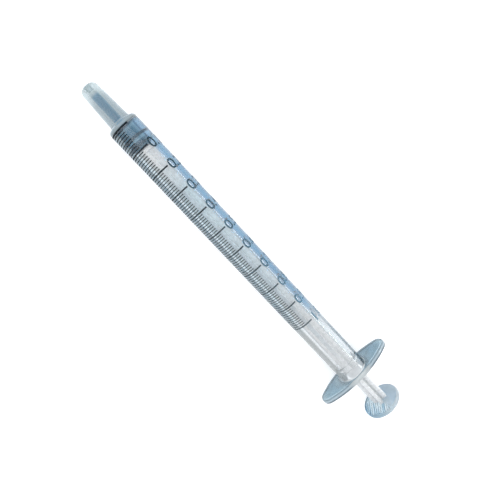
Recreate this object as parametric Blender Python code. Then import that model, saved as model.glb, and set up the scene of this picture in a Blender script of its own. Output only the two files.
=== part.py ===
"""One-millilitre oral syringe: barrel with finger flange, stopper and plunger rod.

Metres, +Z up. The syringe lies along X, with its nozzle towards -X, its thumb disc
towards +X and the two wings of its finger flange along Y. The origin is under the
middle of its length, level with its lowest edge. Each piece is drawn about the bore's
axis, with x = 0 at the zero line of the scale, and is then moved into place.
"""

import math

import bmesh
import bpy
from mathutils import Vector

MM = 0.001
TURNED_SIDES = 48          # facets round every turned shape
ARC_STEPS = 4              # straight steps in each rounded corner
TOUCH_GAP = 0.3 * MM       # left between faces that touch

# Barrel, with x counted from the zero line of the scale
DOSE = 1.0e-6              # cubic metres swept over the whole scale
BORE_R = 2.375 * MM
SCALE_LENGTH = DOSE / (math.pi * BORE_R**2)
BORE_FRONT_X = -TOUCH_GAP
BORE_CHAMFER = 0.25 * MM
BARREL_FRONT_R = 3.37 * MM
BARREL_REAR_R = 3.53 * MM
SHOULDER_X = -1.1 * MM
SHOULDER_ROUND = 0.55 * MM
NOZZLE_LENGTH = 9.45 * MM
NOZZLE_TIP_R = 1.90 * MM
NOZZLE_ROOT_R = 2.26 * MM
NOZZLE_ROUND = 0.8 * MM
NOZZLE_ROUND_LENGTH = 1.2 * MM
NOZZLE_FILLET = 0.56 * MM
NOZZLE_FILLET_LENGTH = 1.0 * MM
LUMEN_R = 0.6 * MM
LUMEN_MOUTH_R = 0.8 * MM
LUMEN_MOUTH_DEPTH = 1.6 * MM

# Finger flange
FLANGE_X = 74.2 * MM
FLANGE_THICKNESS = 1.2 * MM
FLANGE_LENGTH = 20.3 * MM
FLANGE_HALF_WIDTH = 4.15 * MM
WING_END_R = 2.3 * MM
FLANGE_EDGE_ROUND = 0.3 * MM
FLANGE_FILLET = 0.45 * MM
FLANGE_ARC_STEPS = 10
REAR_CHAMFER = 0.35 * MM

# Retaining ring inside the rear of the bore
RING_X = 71.5 * MM
RING_HEIGHT = 0.16 * MM
RING_HALF_LENGTH = 0.6 * MM

# Stopper, with its front face on the zero line
STOPPER_LENGTH = 5.5 * MM
SEAL_R = BORE_R - 0.045 * MM
WAIST_R = 2.2 * MM
SEAL_RIBS = ((0.05 * MM, 0.85 * MM), (2.5 * MM, 3.45 * MM), (4.2 * MM, 5.1 * MM))
STOPPER_TAIL_R = 2.0 * MM
POCKET_MOUTH_R = 1.05 * MM
POCKET_R = 1.38 * MM
POCKET_FRONT_X = 1.9 * MM
POCKET_REAR_X = 4.15 * MM
POCKET_NECK_X = 4.4 * MM

# Plunger rod
KNOB_R = 1.07 * MM
KNOB_FRONT_X = POCKET_FRONT_X + TOUCH_GAP
KNOB_REAR_X = 3.75 * MM
KNOB_NOSE_R = 0.6 * MM
NECK_R = 0.72 * MM
PLATE_X = STOPPER_LENGTH + TOUCH_GAP
PLATE_THICKNESS = 0.8 * MM
PLATE_R = 2.03 * MM
RIB_SPAN = 3.55 * MM
RIB_THICKNESS = 0.9 * MM
ROD_TURN = math.radians(20)  # how far the cross stands turned about the axis at rest
RIB_BITE = 0.4 * MM        # how far the ribs run into the plate and the thumb disc
THUMB_X = 85.25 * MM
THUMB_THICKNESS = 1.2 * MM
THUMB_R = 4.74 * MM
THUMB_ROUND = 0.4 * MM

NOZZLE_TIP_X = SHOULDER_X - NOZZLE_LENGTH
THUMB_FACE_X = THUMB_X + THUMB_THICKNESS
FLANGE_REAR_X = FLANGE_X + FLANGE_THICKNESS
AXIS_Z = max(THUMB_R, FLANGE_HALF_WIDTH)
ZERO_LINE = Vector((-(NOZZLE_TIP_X + THUMB_FACE_X) / 2, 0, AXIS_Z))


def clear_scene():
    for item in list(bpy.data.objects):
        bpy.data.objects.remove(item)


def arc(center_x, center_r, radius, start, end, steps=ARC_STEPS, stretch=1.0):
    """Points on an arc in the (x, r) plane, stretched along x, with its angles in degrees from +x."""
    angles = [math.radians(start + (end - start) * i / steps) for i in range(steps + 1)]
    return [(center_x + radius * stretch * math.cos(a), center_r + radius * math.sin(a)) for a in angles]


def new_object(name, bm):
    """Turns a bmesh into an object with smooth round faces and sharp edges."""
    bmesh.ops.recalc_face_normals(bm, faces=bm.faces)
    mesh = bpy.data.meshes.new(name)
    bm.to_mesh(mesh)
    bm.free()
    mesh.shade_smooth()
    mesh.set_sharp_from_angle(angle=math.radians(35))
    item = bpy.data.objects.new(name, mesh)
    bpy.context.scene.collection.objects.link(item)
    return item


def turned(name, profile):
    """A solid turned about the X axis from a profile that starts and ends on it."""
    bm = bmesh.new()
    verts = [bm.verts.new((x, 0, r)) for x, r in profile]
    edges = [bm.edges.new(pair) for pair in zip(verts, verts[1:])]
    bmesh.ops.spin(bm, geom=verts + edges, cent=(0, 0, 0), axis=(1, 0, 0),
                   angle=2 * math.pi, steps=TURNED_SIDES, use_merge=True)
    bmesh.ops.remove_doubles(bm, verts=bm.verts, dist=1e-7)
    return new_object(name, bm)


def extruded(name, outline, start_x, end_x):
    """A prism along X from a closed outline of (y, z) points."""
    bm = bmesh.new()
    face = bm.faces.new([bm.verts.new((start_x, y, z)) for y, z in outline])
    grown = bmesh.ops.extrude_face_region(bm, geom=[face])
    moved = [g for g in grown["geom"] if isinstance(g, bmesh.types.BMVert)]
    bmesh.ops.translate(bm, verts=moved, vec=(end_x - start_x, 0, 0))
    return new_object(name, bm)


def combine(target, tool, operation):
    """Joins or cuts target with tool, which stays as a hidden guide."""
    cut = target.modifiers.new(tool.name, "BOOLEAN")
    cut.operation = operation
    cut.solver = "EXACT"
    cut.object = tool
    tool.hide_render = True
    tool.display_type = "WIRE"
    tool.parent = target


def plastic(name, color, roughness, transmission=0.0):
    material = bpy.data.materials.new(name)
    material.use_nodes = True
    shader = material.node_tree.nodes["Principled BSDF"]
    shader.inputs["Base Color"].default_value = (*color, 1)
    shader.inputs["Roughness"].default_value = roughness
    shader.inputs["Metallic"].default_value = 0
    shader.inputs["IOR"].default_value = 1.49
    shader.inputs["Transmission Weight"].default_value = transmission
    return material


def barrel_outside():
    """Nozzle, shoulder and drafted tube, closed inside the thickness of the flange."""
    draft = (BARREL_REAR_R - BARREL_FRONT_R) / FLANGE_X
    profile = [(NOZZLE_TIP_X, 0)]
    profile += arc(NOZZLE_TIP_X + NOZZLE_ROUND_LENGTH, NOZZLE_TIP_R - NOZZLE_ROUND, NOZZLE_ROUND,
                   180, 90, 2 * ARC_STEPS, NOZZLE_ROUND_LENGTH / NOZZLE_ROUND)
    profile += arc(SHOULDER_X - NOZZLE_FILLET_LENGTH, NOZZLE_ROOT_R + NOZZLE_FILLET, NOZZLE_FILLET,
                   270, 360, ARC_STEPS, NOZZLE_FILLET_LENGTH / NOZZLE_FILLET)
    profile += arc(SHOULDER_X + SHOULDER_ROUND, BARREL_FRONT_R - SHOULDER_ROUND,
                   SHOULDER_ROUND, 180, 90)
    fillet_x = FLANGE_X - FLANGE_FILLET
    fillet_r = BARREL_FRONT_R + draft * fillet_x
    profile += arc(fillet_x, fillet_r + FLANGE_FILLET, FLANGE_FILLET, 270, 360)
    inside_x = FLANGE_X + FLANGE_THICKNESS / 2
    profile += [(inside_x, fillet_r + FLANGE_FILLET), (inside_x, 0)]
    return turned("barrel", profile)


def barrel_hollow():
    """Lumen of the nozzle, bore with its retaining ring, and the lead-in at the rear."""
    over = 1 * MM
    mouth_x = NOZZLE_TIP_X + LUMEN_MOUTH_DEPTH
    mouth_slope = (LUMEN_MOUTH_R - LUMEN_R) / LUMEN_MOUTH_DEPTH
    profile = [(NOZZLE_TIP_X - over, 0)]
    profile += [(NOZZLE_TIP_X - over, LUMEN_MOUTH_R + mouth_slope * over), (mouth_x, LUMEN_R)]
    profile += [(BORE_FRONT_X, LUMEN_R), (BORE_FRONT_X, BORE_R - BORE_CHAMFER)]
    profile += [(BORE_FRONT_X + BORE_CHAMFER, BORE_R), (RING_X - RING_HALF_LENGTH, BORE_R)]
    profile += [(RING_X, BORE_R - RING_HEIGHT), (RING_X + RING_HALF_LENGTH, BORE_R)]
    profile += [(FLANGE_REAR_X - REAR_CHAMFER, BORE_R)]
    profile += [(FLANGE_REAR_X + over, BORE_R + REAR_CHAMFER + over)]
    profile += [(FLANGE_REAR_X + over, 0)]
    return turned("barrel_hollow", profile)


def flange_outline():
    """Eye shape: two long arcs that run tangent into a round end on each wing."""
    end_y = FLANGE_LENGTH / 2 - WING_END_R
    long_r = (end_y**2 + FLANGE_HALF_WIDTH**2 - WING_END_R**2) / (2 * (FLANGE_HALF_WIDTH - WING_END_R))
    long_z = FLANGE_HALF_WIDTH - long_r
    sweep = math.degrees(math.atan2(end_y, -long_z))
    top = arc(0, long_z, long_r, 90 + sweep, 90 - sweep, FLANGE_ARC_STEPS)
    end = arc(end_y, 0, WING_END_R, 90 - sweep, sweep - 90, FLANGE_ARC_STEPS)
    half = top + end[1:-1]
    return half + [(-y, -z) for y, z in half]


def finger_flange():
    flange = extruded("finger_flange", flange_outline(), FLANGE_X, FLANGE_REAR_X)
    edge = flange.modifiers.new("edge_round", "BEVEL")
    edge.width = FLANGE_EDGE_ROUND
    edge.segments = 2
    edge.limit_method = "ANGLE"
    edge.angle_limit = math.radians(60)
    return flange


def make_barrel():
    barrel = barrel_outside()
    combine(barrel, finger_flange(), "UNION")
    combine(barrel, barrel_hollow(), "DIFFERENCE")
    barrel.data.materials.append(plastic("clear_blue_plastic", (0.78, 0.89, 0.95), 0.08, 0.9))
    barrel.location = ZERO_LINE
    return barrel


def seal_lip(start_x, end_x):
    """Rounded sealing rib of the stopper, from the waist up to the bore and back."""
    middle = (start_x + end_x) / 2
    half = (end_x - start_x) / 2
    height = SEAL_R - WAIST_R
    points = []
    for i in range(7):
        angle = math.pi * i / 6
        points.append((middle - half * math.cos(angle), WAIST_R + height * math.sin(angle)))
    return points


def make_stopper():
    """Plug with three sealing ribs and a pocket at the rear that snaps over the rod's knob."""
    profile = [(0, 0), (0, WAIST_R - SEAL_RIBS[0][0])]
    for start_x, end_x in SEAL_RIBS:
        profile += seal_lip(start_x, end_x)
    profile += [(STOPPER_LENGTH - 0.2 * MM, STOPPER_TAIL_R), (STOPPER_LENGTH, STOPPER_TAIL_R - 0.2 * MM)]
    profile += [(STOPPER_LENGTH, POCKET_MOUTH_R), (POCKET_NECK_X, POCKET_MOUTH_R)]
    profile += [(POCKET_REAR_X, POCKET_R), (POCKET_FRONT_X + 0.4 * MM, POCKET_R)]
    profile += [(POCKET_FRONT_X, KNOB_NOSE_R + TOUCH_GAP), (POCKET_FRONT_X, 0)]
    stopper = turned("stopper", profile)
    stopper.data.materials.append(plastic("blue_grey_rubber", (0.20, 0.36, 0.47), 0.35))
    stopper.location = ZERO_LINE
    return stopper


def rod_nose():
    """Knob and neck that hold the stopper, and the round plate that pushes it."""
    profile = [(KNOB_FRONT_X, 0), (KNOB_FRONT_X, KNOB_NOSE_R), (KNOB_FRONT_X + 0.5 * MM, KNOB_R)]
    profile += [(KNOB_REAR_X - 0.2 * MM, KNOB_R), (KNOB_REAR_X, NECK_R), (PLATE_X, NECK_R)]
    profile += [(PLATE_X, PLATE_R), (PLATE_X + PLATE_THICKNESS, PLATE_R)]
    profile += [(PLATE_X + PLATE_THICKNESS, 0)]
    return turned("rod_nose", profile)


def thumb_disc():
    profile = [(THUMB_X, 0)]
    profile += arc(THUMB_X + THUMB_ROUND, THUMB_R - THUMB_ROUND, THUMB_ROUND, 180, 90)
    profile += arc(THUMB_FACE_X - THUMB_ROUND, THUMB_R - THUMB_ROUND, THUMB_ROUND, 90, 0)
    profile += [(THUMB_FACE_X, 0)]
    return turned("thumb_disc", profile)


def cross_outline():
    """Plus-shaped section of the rod, a point list of (y, z)."""
    span = RIB_SPAN / 2
    half = RIB_THICKNESS / 2
    quarter = [(span, -half), (span, half), (half, half)]
    outline = []
    for turn in range(4):
        angle = ROD_TURN + turn * math.pi / 2
        c, s = math.cos(angle), math.sin(angle)
        outline += [(y * c - z * s, y * s + z * c) for y, z in quarter]
    return outline


def make_plunger_rod():
    start_x = PLATE_X + PLATE_THICKNESS - RIB_BITE
    rod = extruded("plunger_rod", cross_outline(), start_x, THUMB_X + RIB_BITE)
    combine(rod, rod_nose(), "UNION")
    combine(rod, thumb_disc(), "UNION")
    rod.data.materials.append(plastic("translucent_white_plastic", (0.90, 0.93, 0.95), 0.25, 0.5))
    return rod


def main():
    clear_scene()
    make_barrel()
    stopper = make_stopper()
    rod = make_plunger_rod()
    rod.parent = stopper


main()
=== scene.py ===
"""Looks of the one-millilitre oral syringe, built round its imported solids.

The syringe lies along X, nozzle towards -X, with the wings of its finger flange along Y.
Every x below is read from the frame or counted from the scale's zero line, and every
angle round the barrel is counted from straight up towards +Y.
"""

import math

import bmesh
import bpy
from mathutils import Matrix, Vector


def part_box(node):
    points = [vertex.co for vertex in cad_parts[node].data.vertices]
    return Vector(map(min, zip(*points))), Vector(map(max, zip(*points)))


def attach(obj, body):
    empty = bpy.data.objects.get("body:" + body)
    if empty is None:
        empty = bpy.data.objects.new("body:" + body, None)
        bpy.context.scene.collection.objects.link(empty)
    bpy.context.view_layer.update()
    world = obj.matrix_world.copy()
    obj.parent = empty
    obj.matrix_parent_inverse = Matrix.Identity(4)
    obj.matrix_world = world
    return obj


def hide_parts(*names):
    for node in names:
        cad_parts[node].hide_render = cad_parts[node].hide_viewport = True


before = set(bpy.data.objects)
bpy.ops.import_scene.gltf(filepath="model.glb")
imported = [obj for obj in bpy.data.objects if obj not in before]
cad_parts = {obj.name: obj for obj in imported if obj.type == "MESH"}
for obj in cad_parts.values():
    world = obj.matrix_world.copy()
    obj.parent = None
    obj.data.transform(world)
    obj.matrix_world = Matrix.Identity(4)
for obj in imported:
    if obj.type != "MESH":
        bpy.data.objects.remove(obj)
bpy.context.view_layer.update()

MM = 0.001
WHITE = (1, 1, 1)

# Places and sizes read from the frame
BARREL_LOW, BARREL_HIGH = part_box("barrel")
STOPPER_LOW, STOPPER_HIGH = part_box("stopper")
ROD_LOW, ROD_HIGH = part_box("plunger_rod")
ZERO_X = STOPPER_LOW.x
AXIS_Z = (BARREL_LOW.z + BARREL_HIGH.z) / 2
NOZZLE_TIP_X = BARREL_LOW.x
FLANGE_REAR_X = BARREL_HIGH.x
FLANGE_HALF_LENGTH = BARREL_HIGH.y
FLANGE_HALF_WIDTH = (BARREL_HIGH.z - BARREL_LOW.z) / 2
STOPPER_REAR_X = STOPPER_HIGH.x
THUMB_FACE_X = ROD_HIGH.x
THUMB_R = ROD_HIGH.y

# Barrel
DOSE = 1.0e-6              # cubic metres swept over the whole scale
BORE_R = 2.375 * MM
SCALE_LENGTH = DOSE / (math.pi * BORE_R**2)
SHOULDER_X = ZERO_X - 1.1 * MM
SHOULDER_ROUND = 0.55 * MM
BARREL_FRONT_R = 3.37 * MM
BARREL_REAR_R = 3.53 * MM
NOZZLE_TIP_R = 1.90 * MM
NOZZLE_ROOT_R = 2.26 * MM
NOZZLE_ROUND = 0.8 * MM
NOZZLE_ROUND_LENGTH = 1.2 * MM
NOZZLE_FILLET = 0.56 * MM
NOZZLE_FILLET_LENGTH = 1.0 * MM
LUMEN_R = 0.6 * MM
LUMEN_MOUTH_R = 0.8 * MM
LUMEN_MOUTH_DEPTH = 1.6 * MM
BORE_FRONT_X = ZERO_X - 0.3 * MM
BORE_CHAMFER = 0.25 * MM
FLANGE_THICKNESS = 1.2 * MM
FLANGE_X = FLANGE_REAR_X - FLANGE_THICKNESS
FLANGE_EDGE_ROUND = 0.32 * MM
FLANGE_FILLET = 0.26 * MM
WING_END_R = 2.3 * MM
WING_BORDER = 0.75 * MM
BORDER_GAP = 0.003 * MM        # keeps the border clear of the tube's root between the wings
FLANGE_HOLD = 0.03 * MM        # from the rounded edge to the ring that keeps the wings flat
RIM_STEEPNESS = 0.93           # faces that lean less than this towards X are the rim
RING_X = ZERO_X + 71.5 * MM
RING_HEIGHT = 0.16 * MM
RING_HALF_LENGTH = 0.6 * MM
REAR_CHAMFER = 0.35 * MM
SLACK = 0.01 * MM              # allowed where a face's finish is told from its place
TUBE, BORE, LUMEN, NOZZLE, FLANGE, SHOULDER, RIM, BORDER = range(8)    # its finishes

# Stopper, counted from its front face
WAIST_R = 2.28 * MM
LIP_R = BORE_R + 0.012 * MM    # the rubber is squeezed against the bore, with no air between
SEAL_RINGS = ((0.1 * MM, 0.35 * MM), (2.8 * MM, 3.15 * MM), (4.5 * MM, 4.9 * MM))
RING_FOOT_R = 2.33 * MM
WAIST_START_R = 2.29 * MM
TAIL_R = 2.0 * MM
TAIL_ROUND = 0.2 * MM
POCKET_MOUTH_R = 1.05 * MM
POCKET_R = 1.38 * MM
POCKET_FRONT = 1.9 * MM
POCKET_REAR = 4.15 * MM
POCKET_NECK = 4.4 * MM

# Plunger rod
TOUCH_GAP = 0.3 * MM
KNOB_R = 1.07 * MM
KNOB_NOSE_R = 0.6 * MM
KNOB_FRONT_X = ROD_LOW.x
KNOB_REAR_X = ZERO_X + 3.75 * MM
NECK_R = 0.72 * MM
PLATE_X = STOPPER_REAR_X + TOUCH_GAP
PLATE_THICKNESS = 0.8 * MM
PLATE_R = 2.03 * MM
PLATE_ROUND = 0.15 * MM
RIB_SPAN = 3.55 * MM
RIB_THICKNESS = 0.9 * MM
RIB_CORNER = 0.18 * MM
THUMB_THICKNESS = 1.2 * MM
THUMB_X = THUMB_FACE_X - THUMB_THICKNESS
THUMB_ROUND = 0.4 * MM
DISC_EDGE_STEEPNESS = 0.9      # faces that lean less than this towards X are the disc's edge
BITE = 0.4 * MM                # how far the ribs reach into the plate and the disc
ROD_TURN = math.radians(20)
GRIP_PITCH = 0.55 * MM
GRIP_DEPTH = 0.10 * MM
GRIP_WIDTH = 0.36 * MM
GRIP_R = 4.1 * MM
GRIP_TURN = math.radians(-61)
ROD, DISC, DISC_EDGE = range(3)    # its finishes

# Print on the barrel
MINOR_MARKS = 100
MARK_START = math.radians(-102)
MINOR_END = math.radians(-16.5)
MAJOR_END = math.radians(12.4)
MARK_STEP = 3                  # degrees round the barrel
MINOR_WIDTH = 0.19 * MM
MAJOR_WIDTH = 0.33 * MM
ZERO_WIDTH = 0.38 * MM
INK_LIFT = 0.003 * MM
INK_THICKNESS = 0.012 * MM
NUMBER_HEIGHT = 2.45 * MM
HEIGHT_OF_FONT = 0.73          # height of a number as a share of the font's size
NUMBER_COLUMN = 0.12 * MM
NUMBER_START = math.radians(16.5)
NUMBER_SHIFT = 0.32 * MM
NUMBER_BOLDNESS = 0.03 * MM

# Meshes
SIDES = 192
SHARP_ANGLE = math.radians(30)
TINY = 0.0001 * MM
HOLD = 0.06 * MM               # from each end of a long straight to the ring that keeps it flat
LONG_STRAIGHT = 0.4 * MM
ANGLES = [2 * math.pi * i / SIDES for i in range(SIDES)]

# Materials
POLYPROPYLENE_IOR = 1.49
PRINT_GLOSS = 0.2
RUBBER_GLOSS = 0.2
MIX_FACTOR, MIX_FIRST, MIX_SECOND, MIX_RESULT = 0, 6, 7, 2    # sockets of a colour mix

# Camera and floor, with the places counted from the axis at the zero line
CAMERA_PLACE = Vector((18.35, -8.19, 89.18)) * MM
CAMERA_AIM = Vector((36.18, 1.58, 0)) * MM
CAMERA_TURN = math.radians(107.64)
CAMERA_LENS = 29.8
FLOOR_SIZE = 4.0


def on_barrel(x, r, angle):
    """Point at a distance r from the axis."""
    return Vector((x, r * math.sin(angle), AXIS_Z + r * math.cos(angle)))


def outside_r(x):
    """Radius of the drafted tube at x."""
    share = (x - SHOULDER_X) / (FLANGE_X - SHOULDER_X)
    return BARREL_FRONT_R + (BARREL_REAR_R - BARREL_FRONT_R) * share


def arc(center_x, center_r, radius, start, end, steps=8, stretch=1.0):
    """Points on an arc in the (x, r) plane, stretched along x, with its angles in degrees."""
    points = []
    for i in range(steps + 1):
        angle = math.radians(start + (end - start) * i / steps)
        x = center_x + radius * stretch * math.cos(angle)
        points.append((x, center_r + radius * math.sin(angle)))
    return points


def held(profile):
    """Adds a point close to each end of every long straight, so that it shades flat."""
    points = [profile[0]]
    for (x0, r0), (x1, r1) in zip(profile, profile[1:]):
        length = math.hypot(x1 - x0, r1 - r0)
        if length < TINY:
            continue
        if length > LONG_STRAIGHT:
            for share in (HOLD / length, 1 - HOLD / length):
                points.append((x0 + (x1 - x0) * share, r0 + (r1 - r0) * share))
        points.append((x1, r1))
    return points


def rounded(points):
    """Cuts the corners of an open line twice, which leaves a smooth curve."""
    for _ in range(2):
        cut = [points[0]]
        for (x0, r0), (x1, r1) in zip(points, points[1:]):
            cut.append((x0 * 0.75 + x1 * 0.25, r0 * 0.75 + r1 * 0.25))
            cut.append((x0 * 0.25 + x1 * 0.75, r0 * 0.25 + r1 * 0.75))
        points = cut + [points[-1]]
    return points


def new_piece(name, bm):
    """Turns a bmesh into a piece with smooth shading and sharp corners."""
    bmesh.ops.recalc_face_normals(bm, faces=bm.faces)
    mesh = bpy.data.meshes.new(name)
    bm.to_mesh(mesh)
    bm.free()
    mesh.shade_smooth()
    mesh.set_sharp_from_angle(angle=SHARP_ANGLE)
    piece = bpy.data.objects.new(name, mesh)
    bpy.context.scene.collection.objects.link(piece)
    return piece


def skin(bm, rings, closed):
    """Joins each ring of vertices to the next with quads."""
    pairs = list(zip(rings, rings[1:]))
    if closed:
        pairs.append((rings[-1], rings[0]))
    for low, high in pairs:
        for i in range(len(low)):
            j = (i + 1) % len(low)
            bm.faces.new((low[i], low[j], high[j], high[i]))


def circle(bm, x, r):
    """Ring of vertices round the axis."""
    return [bm.verts.new(on_barrel(x, r, a)) for a in ANGLES]


def turned(name, profile):
    """A solid turned about the syringe's axis, from a profile that starts and ends on it."""
    bm = bmesh.new()
    rings = [circle(bm, x, r) for x, r in profile[1:-1]]
    skin(bm, rings, closed=False)
    for (x, _), ring in ((profile[0], rings[0]), (profile[-1], rings[-1])):
        tip = bm.verts.new(on_barrel(x, 0, 0))
        for i in range(SIDES):
            bm.faces.new((tip, ring[i], ring[(i + 1) % SIDES]))
    return new_piece(name, bm)


def prism(name, outline, start_x, end_x):
    """A prism along X from a closed outline of (y, z) points about the axis."""
    bm = bmesh.new()
    rings = [[bm.verts.new((x, y, AXIS_Z + z)) for y, z in outline] for x in (start_x, end_x)]
    skin(bm, rings, closed=False)
    for ring in rings:
        bm.faces.new(ring)
    return new_piece(name, bm)


def united(name, parts, cutter):
    """One closed piece from several overlapping ones less the cutter; all are used up."""
    base = parts[0]
    for part in parts[1:] + [cutter]:
        join = base.modifiers.new(part.name, "BOOLEAN")
        join.operation = "DIFFERENCE" if part is cutter else "UNION"
        join.solver = "EXACT"
        join.object = part
    graph = bpy.context.evaluated_depsgraph_get()
    mesh = bpy.data.meshes.new_from_object(base.evaluated_get(graph))
    for part in parts + [cutter]:
        bpy.data.objects.remove(part)
    bm = bmesh.new()
    bm.from_mesh(mesh)
    bpy.data.meshes.remove(mesh)
    bmesh.ops.remove_doubles(bm, verts=bm.verts, dist=TINY)
    return new_piece(name, bm)


# ---------------------------------------------------------------- barrel

def flange_reach(angle, inset):
    """Distance from the axis to the eye-shaped outline, moved in by inset."""
    end_y = FLANGE_HALF_LENGTH - WING_END_R
    rise = FLANGE_HALF_WIDTH - WING_END_R
    long_r = (end_y**2 + FLANGE_HALF_WIDTH**2 - WING_END_R**2) / (2 * rise)
    long_z = FLANGE_HALF_WIDTH - long_r
    slant = math.hypot(end_y, long_z)
    end_r = WING_END_R - inset
    join_y = end_y + end_r * end_y / slant
    join_z = -end_r * long_z / slant
    y, z = abs(math.sin(angle)), abs(math.cos(angle))
    if math.atan2(y, z) > math.atan2(join_y, join_z):
        return end_y * y + math.sqrt(end_r**2 - (end_y * z) ** 2)
    return long_z * z + math.sqrt((long_r - inset) ** 2 - (long_z * y) ** 2)


def nozzle_and_tube():
    """Outer profile from the nozzle's mouth to the root of the flange."""
    profile = [(NOZZLE_TIP_X, LUMEN_MOUTH_R)]
    profile += arc(NOZZLE_TIP_X + NOZZLE_ROUND_LENGTH, NOZZLE_TIP_R - NOZZLE_ROUND, NOZZLE_ROUND,
                   180, 92, 16, NOZZLE_ROUND_LENGTH / NOZZLE_ROUND)
    profile += arc(SHOULDER_X - NOZZLE_FILLET_LENGTH, NOZZLE_ROOT_R + NOZZLE_FILLET, NOZZLE_FILLET,
                   272, 360, 12, NOZZLE_FILLET_LENGTH / NOZZLE_FILLET)
    profile += arc(SHOULDER_X + SHOULDER_ROUND, BARREL_FRONT_R - SHOULDER_ROUND, SHOULDER_ROUND,
                   180, 90)
    profile.append((ZERO_X - ZERO_WIDTH / 2, outside_r(ZERO_X)))
    fillet_x = FLANGE_X - FLANGE_FILLET
    profile += arc(fillet_x, outside_r(fillet_x) + FLANGE_FILLET, FLANGE_FILLET, 270, 360)
    return held(profile)


def bore_and_lumen():
    """Inner profile from the rear face back to the nozzle's mouth."""
    profile = [(FLANGE_REAR_X, BORE_R + REAR_CHAMFER), (FLANGE_REAR_X - REAR_CHAMFER, BORE_R)]
    for i in range(9):
        turn = math.pi * i / 8
        ring_x = RING_X + RING_HALF_LENGTH * math.cos(turn)
        profile.append((ring_x, BORE_R - RING_HEIGHT * math.sin(turn)))
    profile += arc(BORE_FRONT_X + BORE_CHAMFER, BORE_R - BORE_CHAMFER, BORE_CHAMFER, 90, 180, 6)
    profile += [(BORE_FRONT_X, LUMEN_R), (NOZZLE_TIP_X + LUMEN_MOUTH_DEPTH, LUMEN_R)]
    profile += [(NOZZLE_TIP_X, LUMEN_MOUTH_R)]
    return held(profile)


def flange_edge():
    """Rounded edge of the flange from its front face to its rear, as (x, inset) pairs."""
    mid_x = (FLANGE_X + FLANGE_REAR_X) / 2
    flat = FLANGE_THICKNESS / 2 - FLANGE_EDGE_ROUND
    front = []
    for i in range(7):
        turn = math.pi / 2 * i / 6
        x = mid_x - flat - FLANGE_EDGE_ROUND * math.cos(turn)
        front.append((x, FLANGE_EDGE_ROUND * (1 - math.sin(turn))))
    rear = [(2 * mid_x - x, inset) for x, inset in reversed(front)]
    hold = FLANGE_EDGE_ROUND + FLANGE_HOLD
    return [(FLANGE_X, hold)] + front + rear + [(FLANGE_REAR_X, hold)]


def barrel_slot(face):
    """Which of the barrel's finishes a face of it has, told from its place and its lean."""
    place = face.calc_center_median()
    reach = math.hypot(place.y, place.z - AXIS_Z)
    if reach < LUMEN_R + SLACK and place.x < BORE_FRONT_X:
        return LUMEN
    if reach < BORE_R + SLACK and place.x > BORE_FRONT_X + BORE_CHAMFER / 2:
        return BORE
    if place.x < SHOULDER_X - NOZZLE_FILLET_LENGTH / 2:
        return NOZZLE
    if place.x < ZERO_X - ZERO_WIDTH / 2:
        return SHOULDER
    if reach > BARREL_REAR_R + FLANGE_FILLET / 2 and place.x > FLANGE_X - FLANGE_FILLET:
        return RIM if abs(face.normal.x) < RIM_STEEPNESS else FLANGE
    return TUBE


def make_barrel():
    """One closed moulding: outside, round the flange's edge, and back through the bore."""
    bm = bmesh.new()
    outer = nozzle_and_tube()
    inner = bore_and_lumen()
    rings = [circle(bm, x, r) for x, r in outer]
    border = len(rings)
    root_r = outer[-1][1] + BORDER_GAP
    wing_r = [max(root_r, flange_reach(a, WING_BORDER)) for a in ANGLES]
    rings.append([bm.verts.new(on_barrel(FLANGE_X, r, a)) for r, a in zip(wing_r, ANGLES)])
    for x, inset in flange_edge():
        rings.append([bm.verts.new(on_barrel(x, flange_reach(a, inset), a)) for a in ANGLES])
    rings += [circle(bm, x, r) for x, r in inner[:-1]]
    skin(bm, rings, closed=True)
    bmesh.ops.recalc_face_normals(bm, faces=bm.faces)
    for face in bm.faces:
        face.material_index = barrel_slot(face)
    bm.faces.ensure_lookup_table()
    for face in bm.faces[border * SIDES:(border + 1) * SIDES]:
        face.material_index = BORDER
    return new_piece("barrel_moulding", bm)


# ---------------------------------------------------------------- stopper

def make_stopper():
    """Three thin sealing rings with hollowed waists between, and a pocket for the rod's knob."""
    length = STOPPER_REAR_X - ZERO_X
    crests = [(0, WAIST_R)]
    for start, end in SEAL_RINGS:
        crests += [(start - 0.1 * MM, RING_FOOT_R), (start, LIP_R), (end, LIP_R)]
        crests += [(end + 0.15 * MM, RING_FOOT_R), (end + 0.5 * MM, WAIST_START_R)]
        crests += [(end + 0.7 * MM, WAIST_R)]
    crests = crests[:1] + crests[2:-2] + [(length - 0.25 * MM, TAIL_R + 0.05 * MM)]
    profile = [(0, 0)] + rounded(crests)
    profile += arc(length - TAIL_ROUND, TAIL_R - TAIL_ROUND, TAIL_ROUND, 90, 0, 5)
    profile += [(length, POCKET_MOUTH_R), (POCKET_NECK, POCKET_MOUTH_R), (POCKET_REAR, POCKET_R)]
    profile += [(POCKET_FRONT + 0.4 * MM, POCKET_R), (POCKET_FRONT, KNOB_NOSE_R + TOUCH_GAP)]
    profile += [(POCKET_FRONT, 0)]
    return turned("stopper_plug", [(ZERO_X + x, r) for x, r in held(profile)])


# ---------------------------------------------------------------- plunger rod

def rod_nose():
    """Knob, neck and push plate at the front of the rod."""
    profile = [(KNOB_FRONT_X, 0), (KNOB_FRONT_X, KNOB_NOSE_R), (KNOB_FRONT_X + 0.5 * MM, KNOB_R)]
    profile += [(KNOB_REAR_X - 0.2 * MM, KNOB_R), (KNOB_REAR_X, NECK_R), (PLATE_X, NECK_R)]
    profile += arc(PLATE_X + PLATE_ROUND, PLATE_R - PLATE_ROUND, PLATE_ROUND, 180, 90, 4)
    rear_x = PLATE_X + PLATE_THICKNESS
    profile += arc(rear_x - PLATE_ROUND, PLATE_R - PLATE_ROUND, PLATE_ROUND, 90, 0, 4)
    profile += [(rear_x, 0)]
    return turned("rod_nose", profile)


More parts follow.
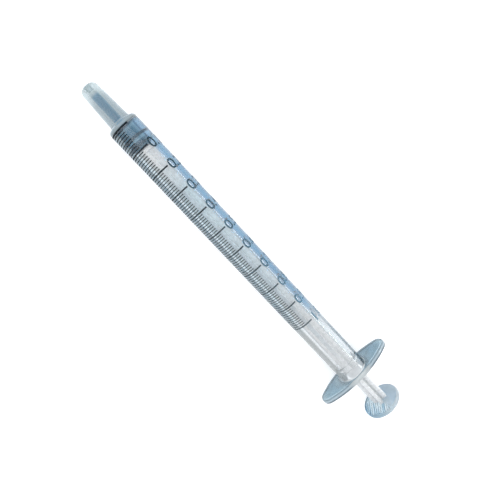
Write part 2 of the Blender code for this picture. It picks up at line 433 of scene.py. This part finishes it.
def thumb_disc():
    """Round disc with a rounded edge, before its grip lines are cut."""
    profile = [(THUMB_X, 0)]
    profile += arc(THUMB_X + THUMB_ROUND, THUMB_R - THUMB_ROUND, THUMB_ROUND, 180, 90)
    profile += arc(THUMB_FACE_X - THUMB_ROUND, THUMB_R - THUMB_ROUND, THUMB_ROUND, 90, 0)
    profile += [(THUMB_FACE_X, 0)]
    return turned("thumb_disc", profile)


def cross_outline():
    """Plus-shaped section with rounded rib edges and filleted inner corners."""
    span, half = RIB_SPAN / 2, RIB_THICKNESS / 2
    corner = RIB_CORNER
    quarter = arc(span - corner, -half + corner, corner, -90, 0, 4)
    quarter += arc(span - corner, half - corner, corner, 0, 90, 4)
    quarter += arc(half + corner, half + corner, corner, 270, 180, 4)
    outline = []
    for i in range(4):
        turn = ROD_TURN + i * math.pi / 2
        c, s = math.cos(turn), math.sin(turn)
        outline += [(y * c - z * s, y * s + z * c) for y, z in quarter]
    return outline


def grip_grooves():
    """Cutter for the fine grip lines across the thumb disc's outer face."""
    bm = bmesh.new()
    line = Vector((0, math.cos(GRIP_TURN), math.sin(GRIP_TURN)))
    side = Vector((0, -math.sin(GRIP_TURN), math.cos(GRIP_TURN)))
    count = int(GRIP_R / GRIP_PITCH)
    above = 0.05 * MM
    half_width = GRIP_WIDTH / 2 * (1 + above / GRIP_DEPTH)
    for i in range(-count, count + 1):
        offset = i * GRIP_PITCH
        half_length = math.sqrt(GRIP_R**2 - offset**2)
        rings = []
        for end in (-half_length, half_length):
            ring = []
            for x, off in ((-GRIP_DEPTH, 0), (above, -half_width), (above, half_width)):
                middle = Vector((THUMB_FACE_X + x, 0, AXIS_Z))
                ring.append(bm.verts.new(middle + line * end + side * (offset + off)))
            rings.append(ring)
        skin(bm, rings, closed=False)
        bm.faces.new(rings[0])
        bm.faces.new(rings[1])
    return new_piece("grip_grooves", bm)


def make_rod():
    """One closed moulding: knob, plate, cross and thumb disc, with a finish told for each face."""
    start_x = PLATE_X + PLATE_THICKNESS - BITE
    ribs = prism("rod_ribs", cross_outline(), start_x, THUMB_X + BITE)
    rod = united("plunger_rod_moulding", [ribs, rod_nose(), thumb_disc()], grip_grooves())
    for face in rod.data.polygons:
        reach = math.hypot(face.center.y, face.center.z - AXIS_Z)
        outside = reach > THUMB_R - THUMB_ROUND - 5 * SLACK
        if face.center.x < THUMB_X - SLACK:
            face.material_index = ROD
        elif outside and abs(face.normal.x) < DISC_EDGE_STEEPNESS:
            face.material_index = DISC_EDGE
        else:
            face.material_index = DISC
    return rod


# ---------------------------------------------------------------- print

def add_mark(bm, x, start, end, width):
    """A thin closed strip of ink that runs round the barrel."""
    steps = max(2, round(math.degrees(end - start) / MARK_STEP))
    rings = []
    for i in range(steps + 1):
        angle = start + (end - start) * i / steps
        ring = []
        for side, lift in ((-1, 0), (1, 0), (1, 1), (-1, 1)):
            edge_x = x + side * width / 2
            r = outside_r(edge_x) + INK_LIFT + lift * INK_THICKNESS
            ring.append(bm.verts.new(on_barrel(edge_x, r, angle)))
        rings.append(ring)
    skin(bm, rings, closed=False)
    bm.faces.new(rings[0])
    bm.faces.new(rings[-1])


def make_scale_lines():
    """Lines of the scale: one bold at zero, a long one at each tenth, short ones between."""
    bm = bmesh.new()
    for i in range(MINOR_MARKS + 1):
        x = ZERO_X + SCALE_LENGTH * i / MINOR_MARKS
        if i == 0:
            add_mark(bm, x, MARK_START, MAJOR_END, ZERO_WIDTH)
        elif i % 10 == 0:
            add_mark(bm, x, MARK_START, MAJOR_END, MAJOR_WIDTH)
        else:
            add_mark(bm, x, MARK_START, MINOR_END, MINOR_WIDTH)
    return new_piece("scale_lines", bm)


def number_mesh(text):
    """Flat number in the font's own plane, cut into narrow columns so that it can bend."""
    curve = bpy.data.curves.new(text, "FONT")
    curve.body = text
    curve.size = NUMBER_HEIGHT / HEIGHT_OF_FONT
    curve.extrude = INK_THICKNESS / 2
    curve.offset = NUMBER_BOLDNESS
    curve.align_y = "CENTER"
    curve.resolution_u = 6
    item = bpy.data.objects.new(text, curve)
    bpy.context.scene.collection.objects.link(item)
    graph = bpy.context.evaluated_depsgraph_get()
    mesh = bpy.data.meshes.new_from_object(item.evaluated_get(graph))
    bpy.data.objects.remove(item)
    bpy.data.curves.remove(curve)
    bm = bmesh.new()
    bm.from_mesh(mesh)
    bpy.data.meshes.remove(mesh)
    bmesh.ops.remove_doubles(bm, verts=bm.verts, dist=TINY / 10)
    reach = max(v.co.x for v in bm.verts)
    for i in range(1, int(reach / NUMBER_COLUMN) + 1):
        geom = bm.verts[:] + bm.edges[:] + bm.faces[:]
        cut = (i * NUMBER_COLUMN, 0, 0)
        bmesh.ops.bisect_plane(bm, geom=geom, plane_co=cut, plane_no=(1, 0, 0))
    return bm


def make_numbers():
    """Numbers 0.1 to 1.0, which read round the barrel with their tops to the nozzle."""
    whole = bmesh.new()
    for i in range(1, 11):
        bm = number_mesh(f"{i / 10:.1f}")
        middle_x = ZERO_X + SCALE_LENGTH * i / 10 + NUMBER_SHIFT
        for v in bm.verts:
            x = middle_x - v.co.y
            r = outside_r(x) + INK_LIFT + INK_THICKNESS / 2 + v.co.z
            v.co = on_barrel(x, r, NUMBER_START + v.co.x / outside_r(x))
        part = bpy.data.meshes.new("number")
        bm.to_mesh(part)
        bm.free()
        whole.from_mesh(part)
        bpy.data.meshes.remove(part)
    return new_piece("scale_numbers", whole)


# ---------------------------------------------------------------- materials

def new_material(name):
    """A material with its node tree and its shader."""
    material = bpy.data.materials.new(name)
    material.use_nodes = True
    return material, material.node_tree, material.node_tree.nodes["Principled BSDF"]


def place_nodes(tree):
    """Object coordinates, which stay with the piece as it moves."""
    return tree.nodes.new("ShaderNodeTexCoord").outputs["Object"]


def noise(tree, scale):
    """Fine noise that stays with the piece."""
    node = tree.nodes.new("ShaderNodeTexNoise")
    node.inputs["Scale"].default_value = scale
    node.inputs["Detail"].default_value = 3.0
    tree.links.new(place_nodes(tree), node.inputs["Vector"])
    return node.outputs["Fac"]


def spread(tree, source, low, high, start=0.3, end=0.7):
    """Maps a 0 to 1 factor from start..end onto low..high."""
    node = tree.nodes.new("ShaderNodeMapRange")
    node.inputs["From Min"].default_value = start
    node.inputs["From Max"].default_value = end
    node.inputs["To Min"].default_value = low
    node.inputs["To Max"].default_value = high
    tree.links.new(source, node.inputs["Value"])
    return node.outputs["Result"]


def bump(tree, shader, source, height):
    """Relief of the source on the shader's surface."""
    node = tree.nodes.new("ShaderNodeBump")
    node.inputs["Strength"].default_value = 1.0
    node.inputs["Distance"].default_value = height
    tree.links.new(source, node.inputs["Height"])
    tree.links.new(node.outputs["Normal"], shader.inputs["Normal"])


def place_on(tree, axis):
    """One coordinate, X, Y or Z, of each place on the piece."""
    split = tree.nodes.new("ShaderNodeSeparateXYZ")
    tree.links.new(place_nodes(tree), split.inputs["Vector"])
    return split.outputs[axis]


def reach_from_axis(tree):
    """Distance of each place on the piece from the syringe's axis."""
    across = tree.nodes.new("ShaderNodeVectorMath")
    across.operation = "MULTIPLY_ADD"
    across.inputs[1].default_value = (0, 1, 1)
    across.inputs[2].default_value = (0, 0, -AXIS_Z)
    tree.links.new(place_nodes(tree), across.inputs[0])
    length = tree.nodes.new("ShaderNodeVectorMath")
    length.operation = "LENGTH"
    tree.links.new(across.outputs["Vector"], length.inputs[0])
    return length.outputs["Value"]


def shade(tree, source, start, end):
    """Factor that rises smoothly from 0 to 1 as the source goes from start to end."""
    node = tree.nodes.new("ShaderNodeMapRange")
    node.interpolation_type = "SMOOTHSTEP"
    node.inputs["From Min"].default_value = start
    node.inputs["From Max"].default_value = end
    tree.links.new(source, node.inputs["Value"])
    return node.outputs["Result"]


def banded(tree, source, stops):
    """Colour that goes through stops of (distance, colour) as the source rises."""
    start, end = stops[0][0], stops[-1][0]
    node = tree.nodes.new("ShaderNodeValToRGB")
    elements = node.color_ramp.elements
    for i, (place, color) in enumerate(stops):
        position = (place - start) / (end - start)
        element = elements[i] if i < 2 else elements.new(position)
        element.position = position
        element.color = (*color, 1)
    tree.links.new(spread(tree, source, 0, 1, start, end), node.inputs["Fac"])
    return node.outputs["Color"]


def painted(tree, axis, stops, start=0.0):
    """Colour by place along an axis, through stops of (millimetres past start, colour)."""
    stops = [(start + distance * MM, color) for distance, color in stops]
    return banded(tree, place_on(tree, axis), stops)


def graded(tree, stops):
    """Share by place along X, through stops of (millimetres past the zero line, share)."""
    return painted(tree, "X", [(x, (share, share, share)) for x, share in stops], ZERO_X)


def shade_along(tree, axis, start, end):
    """Factor that rises smoothly from 0 to 1 between two places along an axis."""
    return shade(tree, place_on(tree, axis), start, end)


def shared(tree, color, share):
    """The colour, darkened by a share of 0 to 1."""
    node = tree.nodes.new("ShaderNodeMix")
    node.data_type = "RGBA"
    node.blend_type = "MULTIPLY"
    node.inputs[MIX_FACTOR].default_value = 1
    tree.links.new(color, node.inputs[MIX_FIRST])
    tree.links.new(share, node.inputs[MIX_SECOND])
    return node.outputs[MIX_RESULT]


def mottled(tree, color, scale, darkest):
    """The colour, darkened here and there down to the share darkest."""
    return shared(tree, color, spread(tree, noise(tree, scale), darkest, 1))


def streaks(tree, turn, scale, stretch):
    """Noise drawn out along a line that lies across X, turned from Y by an angle."""
    drawn = tree.nodes.new("ShaderNodeMapping")
    drawn.vector_type = "TEXTURE"
    drawn.inputs["Rotation"].default_value = (turn, 0, 0)
    drawn.inputs["Scale"].default_value = (1, stretch, 1)
    tree.links.new(place_nodes(tree), drawn.inputs["Vector"])
    node = tree.nodes.new("ShaderNodeTexNoise")
    node.inputs["Scale"].default_value = scale
    tree.links.new(drawn.outputs["Vector"], node.inputs["Vector"])
    return node.outputs["Fac"]


def mixed(tree, factor, first, second):
    """Colour that goes from first to second, either of which may be another mix."""
    node = tree.nodes.new("ShaderNodeMix")
    node.data_type = "RGBA"
    for index, value in ((MIX_FIRST, first), (MIX_SECOND, second)):
        if isinstance(value, bpy.types.NodeSocket):
            tree.links.new(value, node.inputs[index])
        else:
            node.inputs[index].default_value = (*value, 1)
    tree.links.new(factor, node.inputs[MIX_FACTOR])
    return node.outputs[MIX_RESULT]


def plastic(name, clear, polish):
    """Moulded polypropylene that lets the share clear of its light through."""
    material, tree, shader = new_material(name)
    shader.inputs["IOR"].default_value = POLYPROPYLENE_IOR
    shader.inputs["Transmission Weight"].default_value = clear
    tree.links.new(spread(tree, noise(tree, 1200), *polish), shader.inputs["Roughness"])
    return material, tree, shader.inputs["Base Color"]


def clear_by(tree, share):
    """Lets a share of the light through that varies over the piece."""
    tree.links.new(share, tree.nodes["Principled BSDF"].inputs["Transmission Weight"])


def tube_plastic():
    """Clear polypropylene. Its slight haze grows from the stopper to the flange, except in a
    crisp line on the +Y side past the scale."""
    material, tree, color = plastic("clear_polypropylene", 1.0, (0.02, 0.04))
    tree.links.new(mixed(tree, noise(tree, 300), (0.96, 0.98, 0.99), (0.97, 0.99, 1.0)), color)
    hazy = graded(tree, [(5.2, 0.97), (6.2, 0.88), (44, 0.87), (56, 0.82), (68, 0.80),
                         (71, 0.76), (73.5, 0.7)])
    past_scale = shade_along(tree, "X", ZERO_X + 59 * MM, ZERO_X + 63 * MM)
    crisp = shared(tree, shade_along(tree, "Y", 2.4 * MM, 2.8 * MM), past_scale)
    clear_by(tree, mixed(tree, crisp, hazy, (0.97, 0.97, 0.97)))
    return material


def bore_plastic():
    """Polished bore. Light that meets it at a slant inside the wall mirrors off it.

    The rest is seen through it, with painted shade: darker blue on +Y and pale grey-blue on -Y
    along the scale, and grey on +Y past it. The mirrored light is a painted reflection: the
    stopper's colours with a painted dark ring and a painted glint at the front on +Y, then blue
    on +Y and grey-blue on -Y, and grey past the scale with a painted dark line near the top.
    """
    material = bpy.data.materials.new("polished_bore")
    material.use_nodes = True
    tree = material.node_tree
    tree.nodes.remove(tree.nodes["Principled BSDF"])
    through = tree.nodes.new("ShaderNodeBsdfRefraction")
    mirror = tree.nodes.new("ShaderNodeBsdfAnisotropic")
    fresnel = tree.nodes.new("ShaderNodeFresnel")
    mix = tree.nodes.new("ShaderNodeMixShader")
    through.inputs["IOR"].default_value = POLYPROPYLENE_IOR
    through.inputs["Roughness"].default_value = 0.02
    fresnel.inputs["IOR"].default_value = POLYPROPYLENE_IOR
    blur = spread(tree, place_on(tree, "Y"), 0.35, 0.02, -1 * MM, 1 * MM)
    tree.links.new(blur, mirror.inputs["Roughness"])
    past_scale = shade_along(tree, "X", ZERO_X + 0.93 * SCALE_LENGTH,
                             ZERO_X + 1.06 * SCALE_LENGTH)
    to_right = shade_along(tree, "Y", -1 * MM, 1 * MM)

    # Painted shade in the light seen through the bore: darker blue on +Y, pale grey-blue on -Y,
    # grey past the scale
    front_through_shade = painted(tree, "Y", [(-1.6, (0.86, 0.92, 0.95)), (-1.4, WHITE), (1.42, WHITE),
                                     (1.56, (0.45, 0.575, 0.685))])
    rear_through_shade = painted(tree, "Y", [(1, (0.97, 0.97, 0.98)), (1.25, (0.87, 0.895, 0.905)),
                                    (1.7, (0.83, 0.86, 0.87))])
    tree.links.new(mixed(tree, past_scale, front_through_shade, rear_through_shade), through.inputs["Color"])

    # Painted reflection in the bore: the stopper's colours with a dark ring and a painted glint,
    # then blue on +Y and grey-blue on -Y
    rubber, seal, painted_glint = (0.165, 0.285, 0.40), (0.075, 0.13, 0.18), (0.19, 0.33, 0.46)
    blue = (0.045, 0.225, 0.39)
    painted_reflection_band = painted(tree, "X", [(0, rubber), (2.6, rubber), (2.75, seal), (3.2, seal), (3.4, painted_glint),
                               (3.8, painted_glint), (4, rubber), (5.2, rubber), (6.2, blue), (30, blue),
                               (42, (0.01, 0.18, 0.345))], ZERO_X)
    low = painted(tree, "X", [(5.2, (0.31, 0.40, 0.45)), (6.2, (0.15, 0.26, 0.325))], ZERO_X)
    front_painted_reflection = mixed(tree, to_right, low, painted_reflection_band)
    # Painted reflection past the scale: a painted dark line near the top on +Y, plain grey on -Y
    rear_painted_reflection = painted(tree, "Z", [(-0.9, (0.60, 0.655, 0.69)), (-0.26, (0.35, 0.416, 0.45)),
                                    (0.38, (0.12, 0.19, 0.24)), (0.85, (0.35, 0.394, 0.428)),
                                    (1.2, (0.55, 0.564, 0.60))], AXIS_Z)
    rear_painted_reflection = mixed(tree, to_right, (0.285, 0.30, 0.295), rear_painted_reflection)
    tree.links.new(mixed(tree, past_scale, front_painted_reflection, rear_painted_reflection), mirror.inputs["Color"])

    tree.links.new(fresnel.outputs["Fac"], mix.inputs["Fac"])
    tree.links.new(through.outputs["BSDF"], mix.inputs[1])
    tree.links.new(mirror.outputs["BSDF"], mix.inputs[2])
    tree.links.new(mix.outputs["Shader"], tree.nodes["Material Output"].inputs["Surface"])
    return material


def lumen_plastic():
    """Wall of the lumen painted blue as a painted reflection, and painted pale in the flared mouth
    as a painted highlight.
    """
    material, tree, color = plastic("lumen_wall", 0.3, (0.15, 0.3))
    mouth = NOZZLE_TIP_X + 2.3 * MM
    inward = shade_along(tree, "X", mouth - 0.5 * MM, mouth + 0.5 * MM)
    # Painted reflection in the lumen, with a painted highlight in its mouth
    tree.links.new(mixed(tree, inward, (0.95, 1.0, 1.0), (0.12, 0.43, 0.66)), color)
    return material


def nozzle_plastic():
    """Milky nozzle, paler at its tip."""
    material, tree, color = plastic("milky_polypropylene", 0.85, (0.10, 0.16))
    tint = painted(tree, "X", [(0, (0.62, 0.70, 0.72)), (1.6, (0.57, 0.64, 0.66)),
                               (3.5, (0.40, 0.465, 0.495))], NOZZLE_TIP_X)
    tree.links.new(mottled(tree, tint, 500, 0.92), color)
    return material


def shoulder_plastic():
    """Milky shoulder, with a fine darker line round its corner."""
    material, tree, color = plastic("milky_shoulder", 0.65, (0.12, 0.2))
    plain, line = (0.50, 0.60, 0.65), (0.38, 0.48, 0.53)
    tint = painted(tree, "X", [(-0.5, plain), (-0.02, (0.56, 0.66, 0.71)), (0.12, line),
                               (0.28, line), (0.45, (0.60, 0.69, 0.73)), (0.9, plain)], SHOULDER_X)
    tree.links.new(mottled(tree, tint, 500, 0.92), color)
    return material


def flange_plastic():
    """Wings with painted light: pale by the tube, then blue away from it and paler again at the
    tips, standing in for what is seen through them and for light on their edges; painted darker on
    +Y as painted shade and paler on the rear face. They look clearer away from the tube, with faint
    flow marks.
    """
    material, tree, color = plastic("polypropylene_painted_blue_surroundings", 0.85, (0.04, 0.08))
    reach = reach_from_axis(tree)
    # Painted light by distance from the axis: pale by the tube, blue surroundings seen through,
    # paler tips
    painted_wing_tint = [(3.6 * MM, (0.68, 0.73, 0.75)), (3.9 * MM, (0.37, 0.45, 0.50))]
    painted_wing_tint += [(6.2 * MM, (0.21, 0.345, 0.445)), (8.4 * MM, (0.22, 0.355, 0.45))]
    painted_wing_tint += [(9.6 * MM, (0.37, 0.49, 0.55))]
    # Painted shade: the +Y wing darker than the -Y wing
    side = mixed(tree, shade_along(tree, "Y", -2 * MM, 2 * MM), WHITE, (0.68, 0.755, 0.80))
    front = shared(tree, banded(tree, reach, painted_wing_tint), side)
    rear = shade_along(tree, "X", FLANGE_X + 0.15 * MM, FLANGE_X + 0.5 * MM)
    tint = mixed(tree, rear, front, (0.40, 0.55, 0.62))
    tree.links.new(mottled(tree, tint, 700, 0.72), color)
    clear_by(tree, spread(tree, reach, 0.35, 0.85, 3.7 * MM, 4.6 * MM))
    return material


def border_plastic():
    """Border of the wings, painted paler than the wings as a painted highlight where the rounded
    rim gathers the light, with random tone.
    """
    material, tree, color = plastic("wing_border", 0.5, (0.06, 0.12))
    # Painted highlight: paler than the wings
    tree.links.new(mixed(tree, noise(tree, 600), (0.30, 0.42, 0.50), (0.44, 0.56, 0.63)), color)
    return material


def rim_plastic():
    """Rim of the flange, with painted light: a painted light band along its front half, painted
    shade behind, and pale between the wings.
    """
    material, tree, color = plastic("flange_rim", 0.35, (0.08, 0.14))
    # Painted light along the front half of the rim, painted shade behind it
    wings = painted(tree, "X", [(0, (0.24, 0.31, 0.36)), (0.16, (0.36, 0.45, 0.51)),
                                (0.3, (0.50, 0.61, 0.68)), (0.55, (0.48, 0.58, 0.64)),
                                (0.75, (0.17, 0.22, 0.26)), (1.2, (0.14, 0.18, 0.21))], FLANGE_X)
    middle = painted(tree, "Y", [(-3.8, (0, 0, 0)), (-2.4, WHITE), (2.4, WHITE), (3.8, (0, 0, 0))])
    tint = mixed(tree, middle, wings, (0.60, 0.64, 0.65))
    tree.links.new(mottled(tree, tint, 600, 0.85), color)
    return material


def rod_plastic():
    """Translucent rod with painted light: painted brighter, and bluish along the scale, over the
    part that sits in the barrel, standing in for the light that reaches it there, so it is greyer
    towards the end that the fingers touch;
    painted white towards +Y as a painted highlight on that rib. The edges of its ribs and the
    valleys between them carry painted shade, so that it stands out when it is pulled out."""
    material, tree, color = plastic("translucent_polypropylene", 0.12, (0.2, 0.35))
    # Painted light: brighter where the rod lies in the barrel at rest, greyer past the flange
    pale = (0.95, 0.935, 0.925)
    tint = painted(tree, "X", [(0, (1, 0.98, 0.97)), (9, (0.97, 0.94, 0.93)),
                               (18, (0.78, 0.92, 0.97)), (44, (0.90, 0.97, 1)), (54, pale),
                               (69, pale), (75, (0.75, 0.755, 0.765)),
                               (85.25, (0.74, 0.745, 0.755))], ZERO_X)
    # Painted highlight: paler towards +Y, along the edge of that rib
    tint = mixed(tree, shade_along(tree, "Y", 0.9 * MM, 1.9 * MM), tint, WHITE)
    # Painted shade in the valleys between the ribs and along the rib edges
    valley_shade = [(0.6 * MM, (0.55, 0.57, 0.58)), (0.72 * MM, (0.66, 0.68, 0.69)), (1.1 * MM, WHITE)]
    edge = [(1.5 * MM, WHITE), (1.7 * MM, (0.56, 0.63, 0.68))]
    valley_shade_strength = graded(tree, [(9, 0), (18, 0.3), (60, 0.3), (74, 1)])
    edge_shade_strength = graded(tree, [(9, 0), (18, 0.85), (60, 0.85), (66, 0.6), (70, 0)])
    for stops, strength in ((valley_shade, valley_shade_strength), (edge, edge_shade_strength)):
        darker = banded(tree, reach_from_axis(tree), stops)
        tint = shared(tree, tint, mixed(tree, strength, WHITE, darker))
    tree.links.new(mottled(tree, tint, 400, 0.96), color)
    return material


def thumb_plastic():
    """Thumb disc with painted light: painted bluer and darker towards -Y and paler in the middle,
    standing in for blue surroundings seen through it, paler on its rear face, and clearer on -Y,
    where painted streaks stand in for the grip lines showing through.
    """
    material, tree, color = plastic("disc_painted_blue_surroundings", 0.85, (0.08, 0.15))
    # Painted light: blue and darker towards -Y, pale in the middle, for the surroundings seen
    # through the disc
    front = painted(tree, "Y", [(-4.6, (0.22, 0.37, 0.49)), (-3.6, (0.50, 0.64, 0.72)),
                                (-1, (0.74, 0.82, 0.85)), (2, (0.48, 0.61, 0.73)),
                                (4.6, (0.45, 0.55, 0.63))])
    # Painted streaks that stand in for the grip lines seen through the disc
    lines = [(0.36, (0.30, 0.49, 0.62)), (0.46, (0.72, 0.83, 0.89)), (0.54, WHITE), (0.7, WHITE)]
    lines = banded(tree, streaks(tree, GRIP_TURN, 1100, 9), lines)
    lines = mixed(tree, shade_along(tree, "Y", -0.5 * MM, 1.5 * MM), lines, (0.95, 0.95, 0.95))
    rear = shade_along(tree, "X", THUMB_X + 0.15 * MM, THUMB_X + 0.5 * MM)
    tint = shared(tree, mixed(tree, rear, front, (0.72, 0.80, 0.85)), lines)
    tree.links.new(mottled(tree, tint, 600, 0.85), color)
    clear_by(tree, spread(tree, place_on(tree, "Y"), 0.85, 0.4, -1 * MM, 2 * MM))
    return material


def disc_edge_plastic():
    """Edge of the thumb disc, painted blue and darker on -Y and pale on +Y, as painted shade on the
    -Y side.
    """
    material, tree, color = plastic("disc_edge", 0.35, (0.1, 0.18))
    # Painted shade: darker blue towards -Y, pale towards +Y
    tint = painted(tree, "Y", [(-4.6, (0.19, 0.32, 0.43)), (-3, (0.34, 0.48, 0.58)),
                               (-0.5, (0.52, 0.61, 0.66)), (2, (0.56, 0.62, 0.66)),
                               (4.6, (0.52, 0.58, 0.62))])
    tree.links.new(mottled(tree, tint, 700, 0.88), color)
    return material


def stopper_rubber():
    """Blue-grey rubber with painted light: painted darker at its rings, where they press on the
    bore, with painted highlights just behind the front two rings, painted shade before the rear
    ring, and painted paler on +Y.
    """
    material, tree, shader = new_material("blue_grey_elastomer")
    shader.inputs["Specular IOR Level"].default_value = RUBBER_GLOSS
    # Painted light: the pale marks behind the front rings are painted highlights, the darker marks
    # painted shade
    base, seal_ring_shade, light = (0.03, 0.155, 0.26), (0.01, 0.07, 0.125), (0.10, 0.26, 0.38)
    painted_shade, pale = (0.005, 0.08, 0.15), (0.26, 0.48, 0.63)
    tint = painted(tree, "X", [(0, seal_ring_shade), (0.4, seal_ring_shade), (0.55, light), (0.9, light), (1.1, base),
                               (2.5, base), (2.75, seal_ring_shade), (3.2, seal_ring_shade), (3.4, light), (3.8, light),
                               (3.95, painted_shade), (4.3, painted_shade), (4.5, seal_ring_shade), (4.9, seal_ring_shade), (5.1, base),
                               (5.5, base)], ZERO_X)
    # Painted light: the +Y side of the rubber painted paler
    plus_y_painted_light = painted(tree, "X", [(0, seal_ring_shade), (0.4, pale), (2.6, pale), (2.75, seal_ring_shade), (3.2, seal_ring_shade),
                                (3.4, (0.30, 0.53, 0.68)), (4.2, (0.18, 0.36, 0.48)),
                                (5.5, (0.16, 0.31, 0.42))], ZERO_X)
    tint = mixed(tree, shade_along(tree, "Y", 0.6 * MM, 2.1 * MM), tint, plus_y_painted_light)
    tree.links.new(mottled(tree, tint, 900, 0.9), shader.inputs["Base Color"])
    tree.links.new(spread(tree, noise(tree, 1500), 0.10, 0.16), shader.inputs["Roughness"])
    bump(tree, shader, noise(tree, 2500), 0.001 * MM)
    return material


def ink(name, first, last):
    """Matt ink that goes from one colour to another from the start to the end of the scale; the
    paler colour towards the end is painted light, standing in for the ink seen at a slant.
    """
    material, tree, shader = new_material(name)
    shader.inputs["Specular IOR Level"].default_value = PRINT_GLOSS
    tint = painted(tree, "X", [(0, first), (SCALE_LENGTH / MM, last)], ZERO_X)
    tree.links.new(mottled(tree, tint, 2000, 0.5), shader.inputs["Base Color"])
    tree.links.new(spread(tree, noise(tree, 3000), 0.55, 0.75), shader.inputs["Roughness"])
    return material


# ---------------------------------------------------------------- studio

def make_floor():
    """Plain pale floor, very slightly luminous so that it stays white round the syringe."""
    bm = bmesh.new()
    bmesh.ops.create_grid(bm, x_segments=1, y_segments=1, size=FLOOR_SIZE / 2)
    floor = new_piece("floor", bm)
    material, tree, shader = new_material("pale_floor")
    shader.inputs["Base Color"].default_value = (0.85, 0.86, 0.87, 1)
    shader.inputs["Roughness"].default_value = 0.8
    shader.inputs["Emission Color"].default_value = (0.98, 0.99, 1, 1)
    shader.inputs["Emission Strength"].default_value = 0.3
    floor.data.materials.append(material)


def soft_light(name, place, size, power):
    """White area light that is aimed at the middle of the floor."""
    data = bpy.data.lights.new(name, "AREA")
    data.shape = "RECTANGLE"
    data.size, data.size_y = size
    data.energy = power
    lamp = bpy.data.objects.new(name, data)
    bpy.context.scene.collection.objects.link(lamp)
    lamp.location = place
    lamp.rotation_euler = (Vector((0, 0, 0)) - Vector(place)).to_track_quat("-Z", "Y").to_euler()


def make_studio():
    """Soft white surroundings with one lamp overhead and a long one beside the syringe."""
    world = bpy.data.worlds.new("studio")
    bpy.context.scene.world = world
    world.use_nodes = True
    sky = world.node_tree.nodes["Background"]
    sky.inputs["Color"].default_value = (0.95, 0.98, 1.0, 1)
    sky.inputs["Strength"].default_value = 1.15
    soft_light("overhead", (-0.15, -0.1, 0.55), (0.5, 0.5), 0.8)
    soft_light("strip", (0.122, 0.43, 0.28), (0.444, 0.05), 0.4)
    bpy.context.scene.view_settings.view_transform = "Standard"


def make_camera():
    """Camera above the front half of the scale, tilted a little towards the flange."""
    data = bpy.data.cameras.new("camera")
    data.lens = CAMERA_LENS
    data.clip_start = 1 * MM
    camera = bpy.data.objects.new("camera", data)
    bpy.context.scene.collection.objects.link(camera)
    camera.location = Vector((ZERO_X, 0, AXIS_Z)) + CAMERA_PLACE
    look = (CAMERA_AIM - CAMERA_PLACE).to_track_quat("-Z", "Y").to_matrix()
    turn = Matrix.Rotation(CAMERA_TURN, 3, "Z")
    camera.rotation_euler = (look @ turn).to_euler()
    bpy.context.scene.camera = camera


def put(piece, body, materials, node=None):
    """Finishes a piece and lets it ride on its body, in the place of a node if one is named."""
    for material in materials:
        piece.data.materials.append(material)
    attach(piece, body)
    if node:
        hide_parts(node)


make_camera()
make_floor()
make_studio()
barrel_finishes = [tube_plastic(), bore_plastic(), lumen_plastic(), nozzle_plastic(),
                   flange_plastic(), shoulder_plastic(), rim_plastic(), border_plastic()]
rod_finishes = [rod_plastic(), thumb_plastic(), disc_edge_plastic()]
put(make_barrel(), "barrel", barrel_finishes, "barrel")
put(make_stopper(), "stopper", [stopper_rubber()], "stopper")
put(make_rod(), "plunger", rod_finishes, "plunger_rod")
# The paler end colours are painted light, for the far marks seen at a slant
line_ink = ink("blue_black_ink", (0.003, 0.009, 0.014), (0.09, 0.12, 0.14))
number_ink = ink("thin_blue_ink", (0.010, 0.032, 0.045), (0.13, 0.24, 0.32))
put(make_scale_lines(), "barrel", [line_ink])
put(make_numbers(), "barrel", [number_ink])
